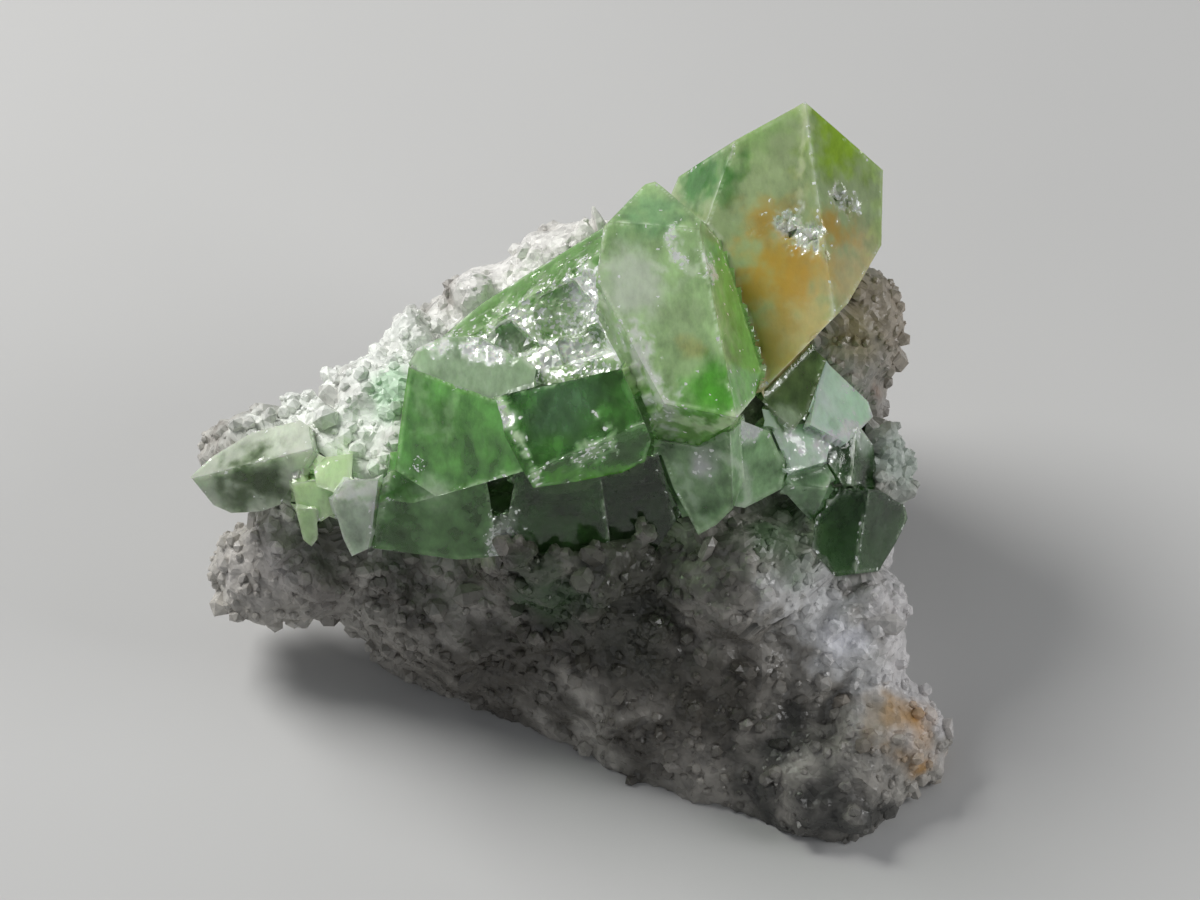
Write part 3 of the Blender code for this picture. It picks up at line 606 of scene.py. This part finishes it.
cornerCrystal = {
    "habits": [{"at": (11.0, 12.0, 3.0), "tint": (0.38, 0.48, 0.25), "milk": 0.82}],
    "spots": [
        # cream below, greener along the top and at the dark left side
        {"at": (11.0, 6.0, 4.6), "reach": 8.0, "red": 0.62, "green": 0.52, "blue": 0.24, "milk": 0.9},
        {"at": (15.0, 10.0, 3.0), "reach": 4.2, "red": 0.62, "green": 0.56, "blue": 0.3, "milk": 0.9},
        {"at": (14.6, 18.6, 3.0), "reach": 3.6, "red": 0.34, "green": 0.54, "blue": 0.04, "milk": 0.75},
        # a painted highlight along the right edge
        {"line": [(17.2, 16.9), (16.9, 12.6)], "wide": 0.9, "red": 0.5, "green": 0.68, "blue": 0.24,
         "milk": 0.8, "strength": 0.5},
        {"at": (9.4, 19.4, 4.0), "reach": 2.6, "red": 0.34, "green": 0.5, "blue": 0.2, "milk": 0.75},
        {"at": (6.2, 16.4, 1.5), "reach": 2.8, "red": 0.1, "green": 0.34, "blue": 0.07, "milk": 0.6},
        {"line": [(12.3, 20.8), (12.0, 15.4)], "wide": 0.35, "red": 0.7, "green": 0.76, "blue": 0.5,
         "milk": 0.9, "strength": 0.5},
        # iron stain round the glossy pits
        {"at": (11.2, 11.4, 5.0), "reach": 6.4, "stain": 0.5, "edge": 1.0, "warp": 0.3},
        {"at": (10.9, 10.9, 5.0), "reach": 3.4, "stain": 0.95, "edge": 1.0, "warp": 0.3},
        {"at": (9.8, 14.0, 4.6), "reach": 2.2, "stain": 0.8, "edge": 1.0, "warp": 0.3},
        {"at": (14.0, 13.4, 5.0), "reach": 2.0, "stain": 0.85, "edge": 1.0, "warp": 0.3},
        {"at": (8.4, 9.2, 3.8), "reach": 1.8, "stain": 0.85, "edge": 1.0, "warp": 0.3},
        {"at": (9.6, 6.2, 4.6), "reach": 3.4, "stain": 0.6, "warp": 0.4, "edge": 1.0},
        {"line": [(11.0, 13.6), (12.6, 12.7)], "wide": 1.1, "red": 0.7, "green": 0.74, "blue": 0.62,
         "milk": 0.95, "stain": 0.0, "glitter": 0.42},
        {"line": [(14.2, 15.4), (15.2, 14.7)], "wide": 0.7, "red": 0.7, "green": 0.74, "blue": 0.62,
         "milk": 0.95, "stain": 0.0, "glitter": 0.42},
    ],
    "broken": [
        {"line": [(11.0, 13.6), (12.6, 12.7)], "wide": 0.9},
        {"line": [(14.2, 15.4), (15.2, 14.7)], "wide": 0.6},
    ],
}
crystalPiece("corner_crystal", ["augelite_corner_crystal"], stained, "augelite_stained", **cornerCrystal)

smallCrystals = [
    ("lower_crystal", pale, "augelite_pale", [
        {"at": (6.0, -1.6, 8.0), "tint": (0.36, 0.56, 0.3), "milk": 0.5},
        {"at": (9.2, -0.8, 6.4), "tint": (0.4, 0.64, 0.34), "milk": 0.55},
    ], [
        {"line": [(7.2, -0.3), (8.6, -1.0), (8.9, -3.0), (8.0, -4.3)], "wide": 0.45, "red": 0.6,
         "green": 0.7, "blue": 0.56, "milk": 0.85, "warp": 0.5, "strength": 0.8},
        {"line": [(6.6, -4.9), (5.6, -3.0), (4.8, -1.2)], "wide": 0.45, "red": 0.5, "green": 0.62,
         "blue": 0.46, "milk": 0.85, "strength": 0.6},
        {"at": (6.2, -0.9, 8.0), "reach": 1.4, "red": 0.66, "green": 0.68, "blue": 0.66, "milk": 0.85,
         "glitter": 0.2},
        {"at": (9.0, 1.2, 7.0), "reach": 1.1, "red": 0.8, "green": 0.88, "blue": 0.8, "milk": 0.9,
         "glitter": 0.75},
        {"at": (6.6, -3.6, 8.0), "reach": 1.3, "red": 0.16, "green": 0.36, "blue": 0.12, "milk": 0.4},
    ]),
    ("right_cluster", mint, "augelite_mint", [
        {"at": (11.8, 4.0, 3.6), "tint": (0.2, 0.33, 0.11), "milk": 0.45},
        {"at": (14.6, 2.8, 1.8), "tint": (0.62, 0.9, 0.66), "milk": 0.95},
        {"at": (12.0, 0.4, 4.6), "tint": (0.6, 0.82, 0.6), "milk": 0.9},
        {"at": (15.4, -0.6, 2.6), "tint": (0.07, 0.17, 0.05), "milk": 0.4},
    ], [
        {"line": [(11.4, 1.0), (12.2, -0.1)], "wide": 0.45, "red": 0.92, "green": 0.95, "blue": 0.92,
         "milk": 1.0, "glitter": 0.8},
        {"at": (15.2, 4.2, 2.0), "reach": 1.2, "red": 0.9, "green": 0.93, "blue": 0.9, "milk": 0.95,
         "glitter": 0.3},
        {"at": (11.2, 2.0, 4.0), "reach": 1.3, "red": 0.5, "green": 0.66, "blue": 0.42, "milk": 0.7},
        {"line": [(13.4, 0.2), (14.6, 1.2), (16.6, 1.6)], "wide": 0.9, "red": 0.84, "green": 0.88,
         "blue": 0.84, "milk": 0.95, "glitter": 0.2},
        {"at": (16.0, 0.6, 2.0), "reach": 1.4, "red": 0.5, "green": 0.6, "blue": 0.5, "milk": 0.85},
    ]),
    ("right_shard", mint, "augelite_mint", [
        {"at": (12.4, -2.4, 4.4), "tint": (0.34, 0.56, 0.3), "milk": 0.5},
    ], []),
    ("dark_crystal", dark, "augelite_dark", [
        {"at": (15.6, -4.8, 2.4), "tint": (0.07, 0.14, 0.06), "milk": 0.35},
    ], []),
    ("left_tip", pale, "augelite_pale", [
        {"at": (-21.0, -1.0, 3.6), "tint": (0.6, 0.66, 0.54), "milk": 0.9},
    ], [
        {"at": (-20.6, -1.8, 3.8), "reach": 2.5, "red": 0.12, "green": 0.22, "blue": 0.06, "milk": 0.45},
        {"at": (-22.0, -3.0, 3.8), "reach": 1.8, "red": 0.14, "green": 0.24, "blue": 0.08, "milk": 0.5},
    ]),
    ("left_crystals", pale, "augelite_pale", [
        {"at": (-16.4, -1.6, 5.4), "tint": (0.56, 0.76, 0.42), "milk": 0.8},
        {"at": (-17.0, -3.2, 5.0), "tint": (0.52, 0.72, 0.38), "milk": 0.8},
    ], []),
    ("left_tooth", pale, "augelite_pale", [
        {"at": (-14.8, -4.0, 6.4), "tint": (0.6, 0.72, 0.56), "milk": 0.7},
    ], [
        {"line": [(-15.2, -2.4), (-13.8, -2.6)], "wide": 0.9, "red": 0.9, "green": 0.93, "blue": 0.88,
         "milk": 0.9},
    ]),
]
for name, material, slotName, habits, spots in smallCrystals:
    crystalPiece(name, ["augelite_" + name], material, slotName, habits, spots)

# Quartz

rockForm = {
    "voxel": 0.3 * mm,
    "blocks": (2.6 * mm, 0.3 * mm),      # size and height of the flat flakes, coarse and fine
    "grains": (1.05 * mm, 0.3 * mm),
    "sugar": (0.6 * mm, 0.12 * mm),
    "bridge": 0.46 * mm,                 # rock nearer than this to a crystal is grown up to it
    "sunk": 0.07 * mm,
    "foot": 0.1 * mm,
}


def remeshed(nodeName, voxel):
    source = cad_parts[nodeName]
    obj = bpy.data.objects.new("remeshed", source.data.copy())
    bpy.context.scene.collection.objects.link(obj)
    weld = obj.modifiers.new("weld", "WELD")
    weld.merge_threshold = crystalForm["merge"]
    modifier = obj.modifiers.new("remesh", "REMESH")
    modifier.mode = "VOXEL"
    modifier.voxel_size = voxel
    mesh = bpy.data.meshes.new_from_object(obj.evaluated_get(bpy.context.evaluated_depsgraph_get()))
    bpy.data.objects.remove(obj)
    return mesh


def roughRock(form):
    # the rock's solid with its grains broken out, grown up to the crystals
    mesh = remeshed("quartz_matrix", form["voxel"])
    bm = bmesh.new()
    bm.from_mesh(mesh)
    bmesh.ops.triangulate(bm, faces=bm.faces[:])
    bm.normal_update()
    held = bm.verts.layers.float.new("held")
    moves = []
    for vert in bm.verts:
        place = vert.co.copy()
        height = 0.0
        for size, depth in (form["blocks"], form["grains"], form["sugar"]):
            height += depth * plates(vert.co, size) * 0.6
        place += vert.normal * height
        on, normal, _, distance = crystals.find_nearest(place)
        outside = (place - on).dot(normal)
        if distance < form["bridge"] or outside < 0.0:
            place = on - normal * form["sunk"]
            vert[held] = 1.0
        if vert.co.z < form["foot"]:
            place.z = 0.0
        low, high = cadBox
        place = Vector(max(low[axis], min(high[axis], place[axis])) for axis in range(3))
        moves.append(place)
    for vert, place in zip(bm.verts, moves):
        vert.co = place
    bm.to_mesh(mesh)
    bm.free()
    return mesh


rockColours = {
    "base": (0.5, 0.48, 0.44),
    "patches": (0.34, 0.32, 0.29),
    "sugar": 0.5,
    "spots": [
        # painted shade on the underside and on the dark lumps at its foot
        {"at": (-5.0, -11.0, 0.0), "reach": 13.0, "edge": 1.0, "warp": 0.6, "tint": (0.075, 0.068, 0.056),
         "sugar": 0.45},
        {"at": (4.0, -14.0, -3.0), "reach": 14.0, "edge": 1.0, "warp": 0.6, "tint": (0.075, 0.068, 0.056),
         "sugar": 0.45},
        {"at": (13.0, -20.5, -6.0), "reach": 8.0, "tint": (0.035, 0.035, 0.032), "sugar": 0.4},
        {"at": (2.0, -8.0, 1.0), "reach": 8.0, "tint": (0.07, 0.07, 0.055), "sugar": 0.4},
        # the white sugary crust at the left, and the blocky crust behind
        {"at": (-17.0, 1.0, 3.0), "reach": 8.5, "tint": (0.9, 0.93, 0.88), "sugar": 1.0},
        {"at": (-12.0, 6.0, 1.0), "reach": 7.0, "tint": (0.9, 0.93, 0.88), "sugar": 0.7},
        {"at": (-6.0, 11.0, -4.0), "reach": 8.0, "tint": (0.84, 0.83, 0.8), "sugar": 0.06},
        {"at": (0.0, 14.0, -5.0), "reach": 6.0, "tint": (0.84, 0.83, 0.79), "sugar": 0.06},
        {"at": (-12.4, 3.6, 3.0), "reach": 2.4, "tint": (0.56, 0.76, 0.56), "sugar": 0.8},
        # the pinkish lumps at the lower left, over a slope and under a gap that both carry painted shade
        {"at": (-20.4, -7.4, 1.0), "reach": 4.6, "tint": (0.42, 0.4, 0.385), "sugar": 0.5},
        {"at": (-16.5, -9.4, 0.0), "reach": 3.2, "tint": (0.2, 0.185, 0.17), "sugar": 0.4},
        {"at": (-16.6, -5.6, 2.0), "reach": 2.6, "tint": (0.1, 0.1, 0.08), "sugar": 0.1},
        {"at": (-19.4, -3.0, 3.0), "reach": 2.4, "tint": (0.95, 0.92, 0.84), "sugar": 0.6},
        {"at": (-18.6, -2.5, 3.4), "reach": 0.9, "tint": (0.8, 0.5, 0.2)},
        # the bright foot at the right, stained at its corner
        {"line": [(12.4, -8.4), (14.8, -11.6), (18.2, -14.6)], "wide": 3.6, "warp": 0.5,
         "tint": (0.72, 0.72, 0.72), "sugar": 0.6},
        {"line": [(17.6, -6.4), (18.2, -12.0), (19.4, -16.4)], "wide": 2.8, "warp": 0.5,
         "tint": (0.72, 0.7, 0.7), "sugar": 0.6},
        {"at": (14.4, -11.6, 0.0), "reach": 2.4, "tint": (0.95, 0.95, 1.0), "sugar": 0.3},
        {"at": (16.4, -16.4, -3.0), "reach": 2.8, "edge": 1.0, "warp": 0.6, "tint": (0.44, 0.3, 0.14)},
        {"at": (18.8, -17.6, -3.0), "reach": 3.2, "edge": 1.0, "warp": 0.6, "tint": (0.48, 0.26, 0.07)},
        # painted shade on the dark lumps under the foot's corner
        {"at": (10.0, -18.6, -4.0), "reach": 4.4, "edge": 1.0, "warp": 0.5, "tint": (0.05, 0.05, 0.045)},
        {"at": (15.4, -20.8, -4.5), "reach": 3.8, "edge": 1.0, "warp": 0.5, "tint": (0.05, 0.05, 0.045)},
        {"at": (19.4, -21.8, -5.0), "reach": 2.4, "edge": 1.0, "warp": 0.5, "tint": (0.06, 0.06, 0.05)},
        # the grey-green and brown rock at the right edge
        {"at": (18.0, -0.6, 0.0), "reach": 3.4, "tint": (0.5, 0.56, 0.5), "sugar": 0.8},
        {"at": (17.0, 8.0, -6.0), "reach": 6.0, "tint": (0.4, 0.35, 0.28), "sugar": 0.5},
        {"at": (15.0, 6.4, -3.0), "reach": 2.4, "tint": (0.3, 0.26, 0.14)},
        {"at": (17.1, 3.4, -3.0), "reach": 1.3, "tint": (0.34, 0.17, 0.09)},
        # green where crystals root, and dark green painted shade under the shelf
        {"at": (11.0, -6.0, 2.0), "reach": 3.2, "tint": (0.13, 0.2, 0.11), "sugar": 0.6},
        {"at": (-3.0, -8.6, 3.0), "reach": 3.4, "tint": (0.05, 0.09, 0.04)},
    ],
}


def paintRock(mesh, look):
    _, _, points = corners(mesh)
    rims = (unevenness(points, 3.5 * mm), unevenness(points, 1.2 * mm))
    patches = softly(0.5 + unevenness(points, 7.0 * mm))[:, None]
    tint = np.ones((len(points), 4))
    tint[:, :3] = np.array(look["base"]) * (1 - patches) + np.array(look["patches"]) * patches
    sugar = np.full(len(points), look["sugar"])
    for spot in look["spots"]:
        cover = brush(points, rims, spot)
        tint[:, :3] += (np.array(spot["tint"]) - tint[:, :3]) * cover[:, None]
        sugar += (spot.get("sugar", look["sugar"]) - sugar) * cover
    writeAttribute(mesh, "tint", "FLOAT_COLOR", "POINT", tint)
    held = np.zeros(len(points), np.float32)
    mesh.attributes["held"].data.foreach_get("value", held)
    upright = np.array([vert.normal.z for vert in mesh.vertices])
    bare = (held < 0.5) & ((points[:, 2] > 0.4 * mm) | (upright > 0.0))
    writeAttribute(mesh, "sugar", "FLOAT", "POINT", sugar * bare)
    mesh.attributes.remove(mesh.attributes["held"])


def pointShape(b):
    # a short six-sided column with a low pyramid at either end
    column = b.node("GeometryNodeMeshCylinder", {"fill_type": "TRIANGLE_FAN"},
                    {"Vertices": 6, "Radius": 0.5, "Depth": 1.0}, "Mesh")
    place = b.node("GeometryNodeInputPosition")
    height = b.node("ShaderNodeSeparateXYZ", None, {0: place}, 2)
    flat = b.node("ShaderNodeVectorMath", {"operation": "MULTIPLY"}, {0: place, 1: (1.0, 1.0, 0.0)})
    fromAxis = b.node("ShaderNodeVectorMath", {"operation": "LENGTH"}, {0: flat}, "Value")
    tip = b.node("FunctionNodeCompare", {"operation": "LESS_THAN"}, {0: fromAxis, 1: 0.1})
    lift = b.node("ShaderNodeCombineXYZ", None, {2: height * 0.7})
    return b.node("GeometryNodeSetPosition", None, {"Geometry": column, "Selection": tip, "Offset": lift})


def blockShape(b):
    # a blunt grain
    return b.node("GeometryNodeMeshIcoSphere", None, {"Radius": 0.55, "Subdivisions": 1}, "Mesh")


def grainTree(name, shape):
    # grains sunk at random slants into the surface they grow on
    tree = bpy.data.node_groups.new(name, "GeometryNodeTree")
    names = {"Rock": "Geometry", "Density": "Float", "Smallest": "Float", "Largest": "Float",
             "Longest": "Float", "Lean": "Float", "Seed": "Int", "Material": "Material"}
    for name, kind in names.items():
        tree.interface.new_socket(name, in_out="INPUT", socket_type="NodeSocket" + kind)
    tree.interface.new_socket("Grains", in_out="OUTPUT", socket_type="NodeSocketGeometry")
    b = bench(tree)

    def given(name):
        return b.node("NodeGroupInput", None, None, name)

    def randomly(kind, low, high, salt):
        first = {"FLOAT_VECTOR": 0, "FLOAT": 2}[kind]
        values = {first: low, first + 1: high, 8: given("Seed") + salt}
        return b.node("FunctionNodeRandomValue", {"data_type": kind}, values, first // 2)

    sugar = b.node("GeometryNodeInputNamedAttribute", {"data_type": "FLOAT"}, {"Name": "sugar"})
    spread = b.node("GeometryNodeDistributePointsOnFaces", None,
                    {"Mesh": given("Rock"), "Density": given("Density") * sugar, "Seed": given("Seed")})
    turn = wire(b, spread.socket.node.outputs["Rotation"])
    lean = given("Lean")
    low = b.node("ShaderNodeCombineXYZ", None, (0.0 - lean, 0.0 - lean, 0.0))
    high = b.node("ShaderNodeCombineXYZ", None, (lean, lean, math.tau))
    euler = b.node("FunctionNodeEulerToRotation", None, (randomly("FLOAT_VECTOR", low, high, 1),))
    turn = b.node("FunctionNodeRotateRotation", {"rotation_space": "LOCAL"}, (turn, euler))
    size = randomly("FLOAT", 0.0, 1.0, 2) ** 2
    size = given("Smallest") + size * (given("Largest") - given("Smallest"))
    length = size * randomly("FLOAT", 0.8, given("Longest"), 3)
    breadth = size * randomly("FLOAT", 0.7, 1.1, 4)
    scale = b.node("ShaderNodeCombineXYZ", None, (size, breadth, length))
    grown = b.node("GeometryNodeInstanceOnPoints", None,
                   {"Points": spread, "Instance": shape(b), "Rotation": turn, "Scale": scale})
    plain = b.node("GeometryNodeRealizeInstances", None, (grown,))
    plain = b.node("GeometryNodeSetMaterial", None, {"Geometry": plain, "Material": given("Material")})
    b.node("NodeGroupOutput", None, (plain,))
    return tree


def growGrains(name, surface, tree, look, material):
    # the grains on that mesh, as one plain mesh that stays in the specimen's box
    obj = bpy.data.objects.new(name, surface)
    bpy.context.scene.collection.objects.link(obj)
    modifier = obj.modifiers.new("grains", "NODES")
    modifier.node_group = tree
    sockets = {item.name: item.identifier for item in tree.interface.items_tree if item.in_out == "INPUT"}
    for key, value in look.items():
        modifier[sockets[key]] = value
    modifier[sockets["Material"]] = material
    mesh = bpy.data.meshes.new_from_object(obj.evaluated_get(bpy.context.evaluated_depsgraph_get()))
    obj.modifiers.clear()
    obj.data = mesh
    places = np.zeros(len(mesh.vertices) * 3, np.float32)
    mesh.vertices.foreach_get("co", places)
    places = np.clip(places.reshape(-1, 3), np.array(cadBox[0]), np.array(cadBox[1]))
    mesh.vertices.foreach_set("co", places.ravel())
    mesh.update()
    print(name + ":", len(mesh.polygons), "faces")
    return obj


quartz = quartzMaterial("quartz", quartzLook)
rockMesh = roughRock(rockForm)
paintRock(rockMesh, rockColours)
rockMesh.materials.clear()
rockMesh.materials.append(quartz)
rock = bpy.data.objects.new("quartz_rock", rockMesh)
bpy.context.scene.collection.objects.link(rock)
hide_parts("quartz_matrix")
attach(rock, "root")
print("quartz rock:", len(rockMesh.polygons), "triangles")

grainLooks = {
    "quartz_sugar": {"Density": 1.5e6, "Smallest": 0.3 * mm, "Largest": 1.1 * mm, "Longest": 1.3,
                     "Lean": 1.4, "Seed": 5},
    "quartz_points": {"Density": 0.1e6, "Smallest": 0.7 * mm, "Largest": 1.5 * mm, "Longest": 1.3,
                      "Lean": 1.0, "Seed": 23},
}
grainShapes = {"quartz_sugar": blockShape, "quartz_points": pointShape}
for name, look in grainLooks.items():
    obj = growGrains(name, rockMesh, grainTree(name, grainShapes[name]), look, quartz)
    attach(obj, "root")

# Floor, light and camera

studio = {
    "floorSize": 1.6,
    "floorColour": (0.6, 0.6, 0.595, 1.0),
    "worldColour": (0.92, 0.95, 1.0, 1.0),
    "worldStrength": 0.15,
    "bounces": {"max_bounces": 8, "diffuse_bounces": 3, "glossy_bounces": 3, "transmission_bounces": 6,
                "transparent_max_bounces": 6},
    "lamps": [
        # name, where, size, watts, colour
        ("key lamp", Vector((-0.17, 0.11, 0.25)), 0.16, 0.8, (1.0, 0.99, 0.97)),
        ("side lamp", Vector((0.26, -0.04, 0.16)), 0.14, 0.28, (1.0, 1.0, 1.0)),
        ("front lamp", Vector((-0.2, -0.24, 0.2)), 0.24, 0.07, (0.95, 0.98, 1.0)),
    ],
}


def addStudio(look):
    half = look["floorSize"] / 2
    bm = bmesh.new()
    bmesh.ops.create_grid(bm, x_segments=1, y_segments=1, size=half)
    mesh = bpy.data.meshes.new("floor")
    bm.to_mesh(mesh)
    bm.free()
    floorMaterial, b = newMaterial("floor paper")
    mottle = b.clouds(b.place(), 30.0 * mm, 3.0)
    colour = b.tinted(look["floorColour"], b.grey(0.97 + mottle * 0.05))
    paper = b.node("ShaderNodeBsdfPrincipled", None, {"Base Color": colour, "Roughness": 0.75})
    b.node("ShaderNodeOutputMaterial", None, {"Surface": paper})
    mesh.materials.append(floorMaterial)
    floor = bpy.data.objects.new("floor", mesh)
    bpy.context.scene.collection.objects.link(floor)
    world = bpy.data.worlds.new("studio")
    world.use_nodes = True
    b = bench(world.node_tree)
    sky = b.node("ShaderNodeBackground", None, {0: look["worldColour"], 1: look["worldStrength"]})
    b.node("ShaderNodeOutputWorld", None, {0: sky})
    bpy.context.scene.world = world
    for name, where, size, watts, colour in look["lamps"]:
        lamp = bpy.data.lights.new(name, "AREA")
        lamp.shape = "DISK"
        lamp.size = size
        lamp.energy = watts
        lamp.color = colour
        obj = bpy.data.objects.new(name, lamp)
        obj.location = where
        obj.rotation_euler = (view["target"] - where).to_track_quat("-Z", "Y").to_euler()
        bpy.context.scene.collection.objects.link(obj)


def addCamera():
    lens = bpy.data.cameras.new("camera")
    lens.lens = view["lens"]
    lens.clip_start = 1 * mm
    camera = bpy.data.objects.new("camera", lens)
    camera.location = eye
    camera.rotation_euler = (-towardEye).to_track_quat("-Z", "Y").to_euler()
    bpy.context.scene.collection.objects.link(camera)
    bpy.context.scene.camera = camera


addStudio(studio)
addCamera()
for key, value in studio["bounces"].items():
    setattr(bpy.context.scene.cycles, key, value)
bpy.context.scene.view_settings.view_transform = "Standard"
print("studio made")
